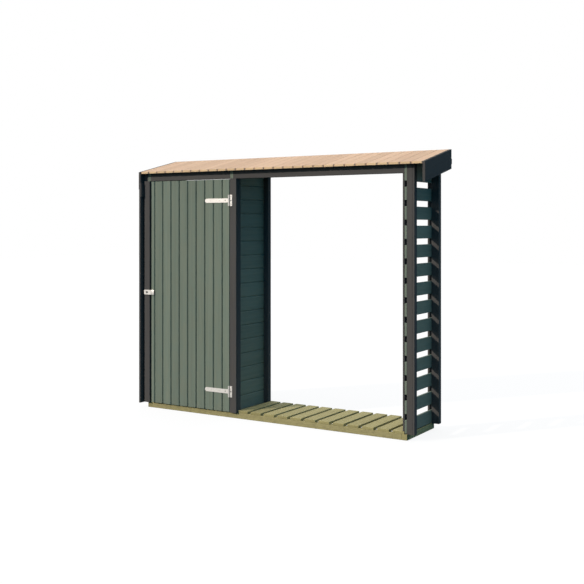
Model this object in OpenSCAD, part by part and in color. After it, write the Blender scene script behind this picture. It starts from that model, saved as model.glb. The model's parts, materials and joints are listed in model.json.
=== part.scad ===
// Log store: an open slatted bay beside a narrow boarded cupboard, under one pent roof.
// X runs along the front, Y runs from the front to the back and Z is up. Drawn sizes are
// measured from the left end, the front face and the underside of the base; placed() then
// moves the whole store so that the origin is under the middle of its overall box.

/* [Base and floor] */
// Length of the base, along the front
base_length = 2400; // [1900:1:3000]
// Depth of the base, from the front face to the back
base_depth = 490; // [400:1:700]
// Width and height of the square bearers that the store stands on
bearer_size = 44; // [36:1:60]
// Width of a floor board
floor_board_width = 95; // [70:1:120]
// Thickness of a floor board
floor_board_thickness = 20; // [15:1:30]
// Gap wanted between floor boards, rounded to fit a whole number of boards
floor_board_gap = 28; // [10:1:40]

/* [Walls] */
// Distance from the left end to the bay side of the partition
partition_offset = 880; // [650:1:1150]
// Thickness of the horizontal cladding boards
cladding_thickness = 16; // [12:1:22]
// Thickness of the battens inside the clad walls
wall_batten_thickness = 12; // [10:1:25]
// Thickness of the battens inside the slatted wall
slat_batten_thickness = 15; // [10:1:25]
// Width and depth of the posts
post_size = 44; // [36:1:60]
// Thickness of the boards on the outer side of the posts
edge_board_thickness = 16; // [12:1:22]
// Height of the cupboard's back wall above the front headers' lower edge
back_wall_rise = 5; // [-100:1:50]
// Thickness of the cover strips beside the door
cover_strip_thickness = 20; // [15:1:25]
// How far the left cover strip laps the left post
left_strip_lap = 24; // [10:1:35]
// How far the left cover strip stands into the doorway past its batten
left_strip_stop = 4; // [2:1:20]

/* [Slatted wall] */
// Width of a slat
slat_width = 96; // [70:1:120]
// Thickness of a slat
slat_thickness = 17; // [14:1:25]
// How far the slatted wall stands in from the end of the base
end_wall_inset = 3; // [0:1:10]
// Smallest gap between slats, rounded up to fit a whole number of slats
slat_gap = 40; // [20:1:60]
// Height of the lowest slat above the bearers
slat_rise = 6; // [0:1:20]
// Height of the gable board's lower edge below the header's
gable_board_drop = 55; // [30:1:90]

/* [Headers and rails] */
// Height of the front headers' lower edge above the ground
header_height = 1915; // [1550:1:2300]
// Depth of the headers at their front face
header_face = 71; // [50:1:120]
// Thickness of the headers, front to back
header_thickness = 38; // [28:1:60]
// Height of the back rail's underside above the front headers'
back_rail_lift = 85; // [75:1:110]
// Height of the back rail
back_rail_height = 40; // [30:1:60]
// How far the back rail's right end runs past the roof boards
back_rail_lead = 4; // [0:1:15]
// Thickness of the roof purlin, front to back
purlin_thickness = 38; // [28:1:60]

/* [Roof] */
// Slope of the roof down to the front, in degrees
roof_slope = 13.4; // [9:0.1:18]
// Thickness of the roof boards, square to the slope
roof_board_thickness = 17; // [12:1:25]
// Front overhang of the roof boards
roof_front_overhang = 47; // [30:1:90]
// Right overhang of the roof boards past the base
roof_right_overhang = 140; // [80:1:200]
// Gap between the roof boards and what carries them
roof_seat_gap = 0.1; // [0.1:0.1:1]
// Gap between the roof's back edge and the back posts
roof_back_gap = 4; // [2:1:10]
// Thickness of the bargeboards
bargeboard_thickness = 20; // [15:1:25]
// Upright depth of the bargeboards
bargeboard_depth = 147; // [100:1:180]
// Front overhang of the bargeboards past the roof boards
bargeboard_lead = 2; // [0:1:10]
// Width of the weather board on the left front post
weather_board_width = 95; // [70:1:120]
// Drop of the weather board below the top of the bearers
weather_board_drop = 6; // [0:1:20]
// Drop of the cleat's top below the headers' lower edge
cleat_drop = 15; // [5:1:40]
// Width of the cleat behind the weather board's top end
cleat_width = 8; // [6:1:25]
// Height of the cleat
cleat_height = 118; // [80:1:160]

/* [Door] */
// Thickness of the door boards
door_board_thickness = 15; // [12:1:18]
// Gap between the door and the left cover strip
door_latch_gap = 20; // [8:1:26]
// Gap between the door and the centre cover strip
door_hinge_gap = 5; // [4:1:8]
// Gap above the door
door_top_gap = 5; // [5:1:12]
// Gap between the door and the level of the bearers' top
door_bottom_gap = 6; // [5:1:20]
// Width of the ledges across the back of the door
ledge_width = 95; // [70:1:120]
// Thickness of the ledges
ledge_thickness = 22; // [16:1:30]
// Distance from the ledges' ends to the door's edges
ledge_inset = 22; // [18:1:40]

/* [Door hardware] */
// Height of the upper hinge's middle below the header
upper_hinge_drop = 175; // [140:1:300]
// Height of the lower hinge's middle above the ground
lower_hinge_height = 212; // [160:1:300]
// Height of the latch's middle above the ground
latch_height = 976; // [800:1:1100]
// Thickness of the hinge and latch plates
plate_thickness = 3; // [2:0.5:4]
// Length of a hinge strap from the pin
strap_length = 239; // [180:1:300]
// Height of a hinge strap
strap_height = 34; // [28:1:50]
// Height of a hinge strap's blunt tip
strap_tip_height = 16; // [8:1:24]
// Length over which a strap narrows to its tip
strap_tip_length = 12; // [6:1:30]
// Height of a hinge's fixed plate
hinge_plate_height = 90; // [75:1:120]
// Distance from the pin to the outer edge of a hinge's fixed plate
hinge_plate_reach = 29; // [24:1:45]
// Radius of a hinge's knuckle
knuckle_radius = 6.5; // [5:0.5:7]
// Radius of a hinge's pin
pin_radius = 3; // [2:0.1:3.5]
// Height of the latch
latch_plate_height = 40; // [30:1:60]
// Distance from the staple's middle to the left cover strip's edge
staple_set_back = 24; // [20:1:30]
// Width of the staple's base plate
staple_plate_width = 40; // [30:1:40]
// Length of the hasp on the door
hasp_fixed_length = 34; // [25:1:60]
// Length of the hasp past the staple's middle
hasp_nose = 28; // [22:1:32]

/* [Hidden] */

$fn = 32;
// Lets a cut or a swept piece pass the face that it meets
overlap = 1;
// Radial clearance of a hinge pin, and the end clearance of its knuckles
pin_clearance = 0.06;
knuckle_end_gap = 0.5;
// Gap between the turning knuckle and the fixed plate's notch
notch_gap = 1;

// Levels
floor_top = bearer_size + floor_board_thickness;
back_rail_bottom = header_height + back_rail_lift;
back_wall_top = header_height + back_wall_rise;
cleat_top = header_height - cleat_drop;

// Places along the length, from the left end of the base
left_inner = cladding_thickness;
left_batten_face = cladding_thickness + wall_batten_thickness;
partition_inner = partition_offset - cladding_thickness;
partition_batten_face = partition_inner - wall_batten_thickness;
bay_left = partition_offset + post_size;
end_wall_outer = base_length - end_wall_inset;
slat_inner = end_wall_outer - slat_thickness;
slat_batten_face = slat_inner - slat_batten_thickness;
right_post_outer = end_wall_outer + post_size;
roof_left = -post_size;
roof_right = base_length + roof_right_overhang;

// Places from the front to the back
back_post_front = base_depth - post_size;
roof_back = back_post_front - roof_back_gap;
purlin_front = roof_back - purlin_thickness;
bargeboard_front = -roof_front_overhang - bargeboard_lead;

// Doorway and door
doorway_left = left_batten_face + left_strip_stop;
centre_strip_lap = 10;
doorway_right = partition_batten_face + centre_strip_lap;
door_left = doorway_left + door_latch_gap;
door_right = doorway_right - door_hinge_gap;
door_bottom = bearer_size + door_bottom_gap;
door_top = header_height - door_top_gap;
door_face = -cover_strip_thickness;
door_back = door_face + door_board_thickness;

// Hinge pins stand in front of the door's edge
pin_x = door_right;
pin_y = door_face - knuckle_radius;
upper_hinge_height = header_height - upper_hinge_drop;

// Latch: a slotted hasp on the door laps a staple on the left strip
latch_pad_gap = 7;
staple_width = 12;
staple_thickness = 3;
staple_reach = 22;
staple_hole_radius = 3.5;
slot_clearance = 4.5;
staple_plate_thickness = plate_thickness / 2;
staple_x = doorway_left - staple_set_back;
hasp_left = staple_x - hasp_nose;
hasp_right = door_left + hasp_fixed_length;

// Overall box, for the origin
store_left = roof_left - bargeboard_thickness;
store_right = roof_right + bargeboard_thickness;
origin_x = (store_left + store_right) / 2;
origin_y = (bargeboard_front + base_depth) / 2;

// Colours
natural_timber = "#9c9468";
roof_timber = "#dfc3a2";
green_paint = "#6f7a6e";
grey_paint = "#4d4c4a";
galvanised = "#d5cdc0";

// Height of the roof's underside at a place y, and of the top of what carries it
function roof_underside(y) = header_height + header_face + y * tan(roof_slope);
function roof_seat(y) = roof_underside(y) - roof_seat_gap;
// Height of the roof's upper face at a place y
function roof_top(y) = roof_underside(y) + roof_board_thickness / cos(roof_slope);
// Whole number of boards of one width, at about one gap, that fill a span
function board_count(span, width, gap) = max(2, round((span + gap) / (width + gap)));

module placed() {
    translate([-origin_x, -origin_y, 0]) children();
}

// A box between two corners
module block(low, high) {
    placed() translate(low) cube(high - low);
}

// A side profile, drawn with y and z, standing between two places along the length
module side_panel(x_low, x_high, profile) {
    placed()
        translate([x_low, 0, 0])
            rotate([90, 0, 90])
                linear_extrude(x_high - x_low) polygon(profile);
}

// An upright between two depths, with its top cut to the roof's slope
module upright_to_roof(x_low, x_high, y_low, y_high, bottom) {
    side_panel(x_low, x_high, [
        [y_low, bottom], [y_high, bottom],
        [y_high, roof_seat(y_high)], [y_low, roof_seat(y_low)]
    ]);
}

// A wall's full profile: cut to the roof, with a step at the back for the purlin and rail
function wall_profile(bottom) = [
    [0, bottom], [base_depth, bottom], [base_depth, back_rail_bottom],
    [purlin_front, back_rail_bottom], [purlin_front, roof_seat(purlin_front)],
    [0, roof_seat(0)]
];

// Boards laid front to back between two places along the length
module floor_run(x_low, x_high) {
    count = board_count(x_high - x_low, floor_board_width, floor_board_gap);
    pitch = (x_high - x_low - floor_board_width) / (count - 1);
    for (i = [0 : count - 1]) {
        block([x_low + i * pitch, 0, bearer_size],
              [x_low + i * pitch + floor_board_width, base_depth, floor_top]);
    }
}

module front_bearer() {
    color(natural_timber)
        block([bearer_size, 0, 0], [base_length - bearer_size, bearer_size, bearer_size]);
}

module back_bearer() {
    color(natural_timber)
        block([bearer_size, base_depth - bearer_size, 0],
              [base_length - bearer_size, base_depth, bearer_size]);
}

// A short bearer that runs from the front to the back
module side_bearer(x_low, y_low, y_high) {
    color(natural_timber)
        block([x_low, y_low, 0], [x_low + bearer_size, y_high, bearer_size]);
}

module left_bearer() { side_bearer(0, 0, base_depth); }
module right_bearer() { side_bearer(base_length - bearer_size, 0, base_depth); }
module partition_bearer() {
    side_bearer(partition_offset - bearer_size, bearer_size, base_depth - bearer_size);
}

module cupboard_floor() {
    board_end_gap = 4;
    color(natural_timber) floor_run(left_inner + board_end_gap, partition_inner - board_end_gap);
}

module log_bay_floor() {
    board_end_gap = 2;
    color(natural_timber) floor_run(bay_left + board_end_gap, slat_inner - board_end_gap);
}

module left_wall_cladding() {
    color(green_paint) side_panel(0, left_inner, wall_profile(bearer_size));
}

module partition_cladding() {
    color(green_paint)
        side_panel(partition_inner, partition_offset, wall_profile(bearer_size));
}

module cupboard_back_cladding() {
    color(green_paint)
        block([left_batten_face, base_depth - cladding_thickness, floor_top],
              [partition_batten_face, base_depth, back_wall_top]);
}

// Front and back battens on the inner face of a clad wall
module wall_battens(x_low) {
    x_high = x_low + wall_batten_thickness;
    color(green_paint) {
        upright_to_roof(x_low, x_high, 0, post_size, floor_top);
        block([x_low, back_post_front, floor_top], [x_high, base_depth, back_rail_bottom]);
    }
}

module left_wall_battens() { wall_battens(left_inner); }
module partition_battens() { wall_battens(partition_batten_face); }

module slatted_wall_battens() {
    color(grey_paint) {
        block([slat_batten_face, 0, floor_top], [slat_inner, post_size, header_height]);
        block([slat_batten_face, back_post_front, floor_top],
              [slat_inner, base_depth, back_rail_bottom]);
    }
}

// Spaced slats below one gable board that is cut to the roof
module slatted_wall() {
    lowest = bearer_size + slat_rise;
    gable_bottom = header_height - gable_board_drop;
    rows = floor((gable_bottom - lowest) / (slat_width + slat_gap));
    pitch = (gable_bottom - lowest) / rows;
    color(green_paint) {
        for (i = [0 : rows - 1]) {
            block([slat_inner, 0, lowest + i * pitch],
                  [end_wall_outer, base_depth, lowest + i * pitch + slat_width]);
        }
        side_panel(slat_inner, end_wall_outer, wall_profile(gable_bottom));
    }
}

// A front post, up to the roof
module front_post(x_low) {
    color(grey_paint) upright_to_roof(x_low, x_low + post_size, 0, post_size, bearer_size);
}

// A back post, up to the back rail
module back_post(x_low) {
    color(grey_paint)
        block([x_low, back_post_front, bearer_size],
              [x_low + post_size, base_depth, back_rail_bottom]);
}

// A board on the outer side of a back post
module back_edge_board(x_low) {
    color(grey_paint)
        block([x_low, back_post_front, bearer_size],
              [x_low + edge_board_thickness, base_depth, back_rail_bottom]);
}

module left_front_post() { front_post(-post_size); }
module left_back_post() { back_post(-post_size); }
module centre_back_post() { back_post(partition_offset); }
module right_front_post() { front_post(end_wall_outer); }
module right_back_post() { back_post(end_wall_outer); }

module centre_front_post() {
    color(grey_paint)
        block([partition_offset, 0, bearer_size], [bay_left, post_size, header_height]);
}

module left_back_edge_board() { back_edge_board(-post_size - edge_board_thickness); }
module right_back_edge_board() { back_edge_board(right_post_outer); }

module right_front_edge_board() {
    color(grey_paint)
        upright_to_roof(right_post_outer, right_post_outer + edge_board_thickness,
                        0, post_size, bearer_size);
}

// Height of a bargeboard's lower edge at a place y
function bargeboard_bottom(y) = roof_top(y) - bargeboard_depth;

module left_weather_board() {
    board_back = bargeboard_front + weather_board_width;
    board_bottom = bearer_size - weather_board_drop;
    color(grey_paint)
        side_panel(-post_size - edge_board_thickness, -post_size, [
            [bargeboard_front, board_bottom], [board_back, board_bottom],
            [board_back, bargeboard_bottom(board_back)],
            [bargeboard_front, bargeboard_bottom(bargeboard_front)]
        ]);
}

module weather_board_cleat() {
    color(grey_paint)
        block([-post_size, bargeboard_front, cleat_top - cleat_height],
              [-post_size + cleat_width, 0, cleat_top]);
}

module left_cover_strip() {
    color(grey_paint)
        block([-left_strip_lap, door_face, bearer_size], [doorway_left, 0, header_height]);
}

module centre_cover_strip() {
    color(grey_paint) block([doorway_right, door_face, bearer_size], [bay_left, 0, header_height]);
}

// A header whose top is cut to the roof
module front_header(x_low, x_high) {
    color(grey_paint) upright_to_roof(x_low, x_high, 0, header_thickness, header_height);
}

module cupboard_header() { front_header(left_batten_face, partition_batten_face); }
module log_bay_header() { front_header(partition_offset, slat_inner); }

module back_rail() {
    color(grey_paint)
        block([roof_left, back_post_front, back_rail_bottom],
              [roof_right + back_rail_lead, base_depth, back_rail_bottom + back_rail_height]);
}

module roof_purlin() {
    color(grey_paint)
        upright_to_roof(roof_left, roof_right, purlin_front, roof_back, back_rail_bottom);
}

module roof_boards() {
    color(roof_timber)
        side_panel(roof_left, roof_right, [
            [-roof_front_overhang, roof_underside(-roof_front_overhang)],
            [roof_back, roof_underside(roof_back)],
            [roof_back, roof_top(roof_back)],
            [-roof_front_overhang, roof_top(-roof_front_overhang)]
        ]);
}

module bargeboard(x_low) {
    color(grey_paint)
        side_panel(x_low, x_low + bargeboard_thickness, [
            [bargeboard_front, bargeboard_bottom(bargeboard_front)],
            [roof_back, bargeboard_bottom(roof_back)],
            [roof_back, roof_top(roof_back)],
            [bargeboard_front, roof_top(bargeboard_front)]
        ]);
}

module left_bargeboard() { bargeboard(roof_left - bargeboard_thickness); }
module right_bargeboard() { bargeboard(roof_right); }

module door_boards() {
    color(green_paint)
        block([door_left, door_face, door_bottom], [door_right, door_back, door_top]);
}

// Three ledges hold the boards, behind the two hinges and the latch
module door_ledges() {
    color(green_paint)
        for (height = [lower_hinge_height, latch_height, upper_hinge_height]) {
            block([door_left + ledge_inset, door_back, height - ledge_width / 2],
                  [door_right - ledge_inset, door_back + ledge_thickness,
                   height + ledge_width / 2]);
        }
}

// A piece drawn round a hinge pin, with x and y from the pin and z from the hinge's middle
module at_hinge(height) {
    placed() translate([pin_x, pin_y, height]) children();
}

// The fixed half: a plate on the centre strip, two knuckles and the pin
module hinge_plate(height) {
    knuckle_start = strap_height / 2 + knuckle_end_gap;
    knuckle_length = hinge_plate_height / 2 - knuckle_start;
    notch_right = knuckle_radius + notch_gap;
    color(galvanised)
        at_hinge(height)
            union() {
                difference() {
                    translate([pin_radius, knuckle_radius - plate_thickness,
                               -hinge_plate_height / 2])
                        cube([hinge_plate_reach - pin_radius, plate_thickness,
                              hinge_plate_height]);
                    translate([0, 0, -knuckle_start])
                        cube([notch_right, knuckle_radius + overlap, 2 * knuckle_start]);
                }
                for (bottom = [-hinge_plate_height / 2, knuckle_start]) {
                    translate([0, 0, bottom]) cylinder(r = knuckle_radius, h = knuckle_length);
                }
                translate([0, 0, -knuckle_start - overlap])
                    cylinder(r = pin_radius, h = 2 * (knuckle_start + overlap));
            }
}

// The moving half: a strap on the door, with a knuckle that turns on the pin
module hinge_strap(height) {
    shoulder = strap_tip_length - strap_length;
    color(galvanised)
        at_hinge(height)
            difference() {
                union() {
                    translate([0, knuckle_radius, 0])
                        rotate([90, 0, 0])
                            linear_extrude(plate_thickness)
                                polygon([
                                    [-pin_radius, -strap_height / 2],
                                    [-pin_radius, strap_height / 2],
                                    [shoulder, strap_height / 2],
                                    [-strap_length, strap_tip_height / 2],
                                    [-strap_length, -strap_tip_height / 2],
                                    [shoulder, -strap_height / 2]
                                ]);
                    translate([0, 0, -strap_height / 2])
                        cylinder(r = knuckle_radius, h = strap_height);
                }
                translate([0, 0, -strap_height])
                    cylinder(r = pin_radius + pin_clearance, h = 2 * strap_height);
            }
}

module upper_hinge_plate() { hinge_plate(upper_hinge_height); }
module lower_hinge_plate() { hinge_plate(lower_hinge_height); }
module upper_hinge_strap() { hinge_strap(upper_hinge_height); }
module lower_hinge_strap() { hinge_strap(lower_hinge_height); }

// The staple: a base plate on the left strip and a lug that takes a padlock
module latch_staple() {
    color(galvanised)
        placed()
            difference() {
                union() {
                    translate([staple_x - staple_plate_width / 2,
                               door_face - staple_plate_thickness,
                               latch_height - latch_plate_height / 2])
                        cube([staple_plate_width, staple_plate_thickness, latch_plate_height]);
                    translate([staple_x - staple_width / 2, door_face - staple_reach,
                               latch_height - staple_thickness / 2])
                        cube([staple_width, staple_reach, staple_thickness]);
                }
                translate([staple_x, door_face - staple_reach + 2 * staple_hole_radius,
                           latch_height - staple_thickness])
                    cylinder(r = staple_hole_radius, h = 2 * staple_thickness);
            }
}

// The hasp: a pad on the door and a slotted leaf that reaches over the staple
module latch_hasp() {
    leaf_back = door_face - latch_pad_gap;
    slot_width = staple_width + 2 * slot_clearance;
    slot_height = staple_thickness + 2 * slot_clearance;
    color(galvanised)
        placed()
            difference() {
                union() {
                    translate([hasp_left, leaf_back - plate_thickness,
                               latch_height - latch_plate_height / 2])
                        cube([hasp_right - hasp_left, plate_thickness, latch_plate_height]);
                    translate([door_left, leaf_back - plate_thickness,
                               latch_height - latch_plate_height / 2])
                        cube([hasp_fixed_length, plate_thickness + latch_pad_gap,
                              latch_plate_height]);
                }
                translate([staple_x - slot_width / 2, leaf_back - plate_thickness - overlap,
                           latch_height - slot_height / 2])
                    cube([slot_width, plate_thickness + 2 * overlap, slot_height]);
            }
}

front_bearer();
back_bearer();
left_bearer();
partition_bearer();
right_bearer();
cupboard_floor();
log_bay_floor();
left_wall_cladding();
partition_cladding();
cupboard_back_cladding();
left_wall_battens();
partition_battens();
slatted_wall_battens();
slatted_wall();
left_front_post();
left_back_post();
centre_front_post();
centre_back_post();
right_front_post();
right_back_post();
left_back_edge_board();
right_front_edge_board();
right_back_edge_board();
left_weather_board();
weather_board_cleat();
left_cover_strip();
centre_cover_strip();
cupboard_header();
log_bay_header();
back_rail();
roof_purlin();
roof_boards();
left_bargeboard();
right_bargeboard();
upper_hinge_plate();
lower_hinge_plate();
latch_staple();
door_boards();
door_ledges();
upper_hinge_strap();
lower_hinge_strap();
latch_hasp();
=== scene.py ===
"""Looks of a timber log store: an open slatted bay beside a boarded cupboard, under a pent roof.

Each sub-assembly is a class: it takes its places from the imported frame, models its boards or
irons, and dresses them in one of the finishes. Lengths are in metres.
"""

import json
import logging
import math
import random
from contextlib import contextmanager
from dataclasses import dataclass
from enum import Enum
from typing import Callable, Iterator, Sequence, Union

import bmesh
import bpy
from mathutils import Matrix, Vector


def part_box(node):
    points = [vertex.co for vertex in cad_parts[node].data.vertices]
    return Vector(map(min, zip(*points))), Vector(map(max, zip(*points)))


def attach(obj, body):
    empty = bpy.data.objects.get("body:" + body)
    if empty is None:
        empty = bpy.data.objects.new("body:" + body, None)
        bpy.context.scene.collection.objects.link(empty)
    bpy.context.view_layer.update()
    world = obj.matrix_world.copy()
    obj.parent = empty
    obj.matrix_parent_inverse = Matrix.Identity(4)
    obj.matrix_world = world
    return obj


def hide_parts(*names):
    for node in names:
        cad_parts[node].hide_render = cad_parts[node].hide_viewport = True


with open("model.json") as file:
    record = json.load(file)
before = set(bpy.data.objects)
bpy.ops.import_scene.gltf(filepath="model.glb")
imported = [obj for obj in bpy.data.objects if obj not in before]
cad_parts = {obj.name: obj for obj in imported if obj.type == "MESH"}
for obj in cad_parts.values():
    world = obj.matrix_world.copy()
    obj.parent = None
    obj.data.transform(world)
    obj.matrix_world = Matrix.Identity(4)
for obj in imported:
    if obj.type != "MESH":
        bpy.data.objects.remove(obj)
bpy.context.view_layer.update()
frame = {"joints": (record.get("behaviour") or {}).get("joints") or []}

Piece = bpy.types.Object
Edge = bmesh.types.BMEdge
Node = bpy.types.Node
Tree = bpy.types.NodeTree
Outputs = bpy.types.NodeOutputs
Socket = bpy.types.NodeSocket
Material = bpy.types.Material
EdgeTest = Callable[[Edge], bool]
Colour = tuple[float, float, float]
Span = tuple[float, ...]
Feed = Union[Socket, float, Sequence[float]]

SEED = 17
X, Y, Z = range(3)
AXES = SIDEWAYS, INWARD, UP = Vector((1, 0, 0)), Vector((0, 1, 0)), Vector((0, 0, 1))
# How near a corner counts as on a face, and the least angle between faces that is an edge.
TOUCH = 1e-5
FLAT = 0.02
# How closely an edge follows a direction, and a face looks along the grain.
ALIGNED = 0.99
END_FACING = 0.9
SMOOTH_ANGLE = 32.0
# How far apart two boards' grain coordinates can be, so that no two look alike.
GRAIN_SHIFT = 30.0
BOARD_MARKS = (("grain", "FLOAT_VECTOR", "POINT"), ("tone", "FLOAT", "POINT"),
               ("end_grain", "FLOAT", "CORNER"))

log = logging.getLogger("log_store")
draw = random.Random(SEED)


class Body(Enum):
    """The two bodies of the frame: what stands still and what swings."""

    STORE = "store"
    DOOR = "door"


class Grain(Enum):
    """Which way a board's fibres run, given as its length, width and depth directions."""

    ALONG_X = (X, Z, Y)
    ALONG_Y = (Y, X, Z)
    ALONG_Z = (Z, X, Y)

    def axes(self, tilt: float) -> list[Vector]:
        """Give the three directions, turned about X by a board's rise towards the back."""
        turn = Matrix.Rotation(tilt, 3, "X")
        return [turn @ AXES[axis] for axis in self.value]


# ---------------------------------------------------------------- bench work


def clear_selection() -> None:
    """Deselect every object."""
    bpy.ops.object.select_all(action="DESELECT")


def activate(piece: Piece) -> None:
    """Make one object the only selected one and the active one.

    Args:
        piece: The object.
    """
    clear_selection()
    piece.select_set(True)
    bpy.context.view_layer.objects.active = piece


@contextmanager
def editing(piece: Piece) -> Iterator[bmesh.types.BMesh]:
    """Hold a piece in edit mode with nothing selected.

    Args:
        piece: The mesh object to edit.

    Yields:
        Its edit mesh, on which edges are picked.
    """
    activate(piece)
    bpy.ops.object.mode_set(mode="EDIT")
    bpy.ops.mesh.select_mode(type="EDGE")
    bpy.ops.mesh.select_all(action="DESELECT")
    yield bmesh.from_edit_mesh(piece.data)
    bpy.ops.object.mode_set(mode="OBJECT")


def pick(piece: Piece, mesh: bmesh.types.BMesh, chosen: EdgeTest) -> None:
    """Select the edges that a test picks.

    Args:
        piece: The piece in edit mode.
        mesh: Its edit mesh.
        chosen: The test.
    """
    for edge in mesh.edges:
        edge.select_set(chosen(edge))
    bmesh.update_edit_mesh(piece.data)


def squared(low: Vector, high: Vector) -> Piece:
    """Add a squared block, with its place in its mesh.

    Args:
        low: Its lowest corner.
        high: Its highest corner.

    Returns:
        The new object.
    """
    clear_selection()
    bpy.ops.mesh.primitive_cube_add(size=1, location=(low + high) / 2)
    piece = bpy.context.object
    piece.scale = high - low
    bpy.ops.object.transform_apply(location=True, rotation=True, scale=True)
    return piece


def block(middle: Vector, half: Vector) -> Piece:
    """Add a squared block from its middle and half its size."""
    return squared(middle - half, middle + half)


def rod(centre: Vector, radius: float, length: float, axis: int, sides: int) -> Piece:
    """Add a round bar, with its place in its mesh.

    Args:
        centre: Its middle.
        radius: Its radius.
        length: Its length.
        axis: Y or Z, the way that it runs.
        sides: How many sides it has.

    Returns:
        The new object.
    """
    clear_selection()
    turn = math.pi / 2 if axis == Y else 0
    bpy.ops.mesh.primitive_cylinder_add(
        vertices=sides, radius=radius, depth=length, location=centre, rotation=(turn, 0, 0))
    bpy.ops.object.transform_apply(location=True, rotation=True, scale=True)
    return bpy.context.object


def every_edge(_: Edge) -> bool:
    """Pass every edge."""
    return True


def on_face(axis: int, place: float) -> EdgeTest:
    """Give a test for edges that lie wholly at one place along an axis."""
    return lambda edge: all(abs(end.co[axis] - place) < TOUCH for end in edge.verts)


def along(way: Vector) -> EdgeTest:
    """Give a test for edges that run along a direction."""
    return lambda edge: abs(
        (edge.verts[1].co - edge.verts[0].co).normalized().dot(way)) > ALIGNED


def both(first: EdgeTest, second: EdgeTest) -> EdgeTest:
    """Give a test that holds where two tests hold."""
    return lambda edge: first(edge) and second(edge)


def unless(test: EdgeTest) -> EdgeTest:
    """Give a test that holds where another one doesn't."""
    return lambda edge: not test(edge)


def bevel_edges(piece: Piece, width: float, steps: int = 1,
                chosen: EdgeTest = every_edge) -> None:
    """Bevel the edges that a test picks, and leave those that lie in a flat face.

    Args:
        piece: The piece to work on.
        width: Width taken off each side of an edge.
        steps: Steps across the bevel.
        chosen: The test.
    """
    with editing(piece) as mesh:
        pick(piece, mesh, both(chosen, lambda edge: edge.calc_face_angle(math.pi) > FLAT))
        bpy.ops.mesh.bevel(offset=width, segments=steps, affect="EDGES")


def barrel(centre: Vector, radius: float, length: float, sides: int, easing: float) -> Piece:
    """Add an upright round bar with eased rims.

    Args:
        centre: Its middle.
        radius: Its radius.
        length: Its length.
        sides: How many sides it has.
        easing: Width of the bevel around each rim.

    Returns:
        The new object.
    """
    bar = rod(centre, radius, length, Z, sides)
    bevel_edges(bar, easing, chosen=unless(along(UP)))
    return bar


def saw(piece: Piece, point: Vector, normal: Vector) -> None:
    """Saw off what lies on a plane's outer side, and close the cut.

    Args:
        piece: The piece to saw.
        point: A point on the plane.
        normal: The plane's outward direction.
    """
    with editing(piece):
        bpy.ops.mesh.select_all(action="SELECT")
        bpy.ops.mesh.bisect(plane_co=point, plane_no=normal, use_fill=True, clear_outer=True)


def cut_away(piece: Piece, cutter: Piece) -> None:
    """Take a cutter's shape out of a piece, and remove the cutter.

    Args:
        piece: The piece to cut.
        cutter: The object whose shape is taken out.
    """
    activate(piece)
    step = piece.modifiers.new("cut", "BOOLEAN")
    step.operation = "DIFFERENCE"
    step.solver = "EXACT"
    step.object = cutter
    bpy.ops.object.modifier_apply(modifier=step.name)
    bpy.data.objects.remove(cutter)


def copied(piece: Piece, offset: Vector) -> Piece:
    """Copy a piece with a mesh of its own.

    Args:
        piece: The piece to copy.
        offset: How far the copy is moved, in its mesh.

    Returns:
        The copy.
    """
    twin = piece.copy()
    twin.data = piece.data.copy()
    twin.data.transform(Matrix.Translation(offset))
    bpy.context.scene.collection.objects.link(twin)
    return twin


def row_of(piece: Piece, step: Vector, count: int) -> list[Piece]:
    """Repeat a piece at equal steps, the first one included."""
    return [piece] + [copied(piece, step * index) for index in range(1, count)]


def joined(pieces: Sequence[Piece]) -> Piece:
    """Join pieces into one object.

    Args:
        pieces: The pieces, of which the first one is kept.

    Returns:
        The joined object.
    """
    activate(pieces[0])
    for piece in pieces:
        piece.select_set(True)
    if len(pieces) > 1:
        bpy.ops.object.join()
    return bpy.context.view_layer.objects.active


def mark_board(board: Piece, grain: Grain, tilt: float = 0.0) -> None:
    """Write a board's grain coordinates, its tone and its end grain as attributes.

    Args:
        board: One board.
        grain: Which way its fibres run.
        tilt: Angle by which it rises towards the back.
    """
    axes = grain.axes(tilt)
    shift = Vector([draw.uniform(0, GRAIN_SHIFT) for _ in axes])
    tone = draw.uniform(-1, 1)
    mesh = board.data
    for name, kind, domain in BOARD_MARKS:
        mesh.attributes.new(name, kind, domain)
    place, shade, end = (mesh.attributes[name].data for name, _, _ in BOARD_MARKS)
    for vertex in mesh.vertices:
        place[vertex.index].vector = Vector([vertex.co.dot(axis) for axis in axes]) + shift
        shade[vertex.index].value = tone
    for face in mesh.polygons:
        across = 1.0 if abs(face.normal.dot(axes[0])) > END_FACING else 0.0
        for corner in face.loop_indices:
            end[corner].value = across


# ---------------------------------------------------------------- shader work


@dataclass(frozen=True)
class Pattern:
    """A noise pattern: how often it repeats in a metre along each axis, and its texture."""

    repeats: tuple[float, float, float]
    detail: float
    roughness: float
    distortion: float = 0.0


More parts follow.
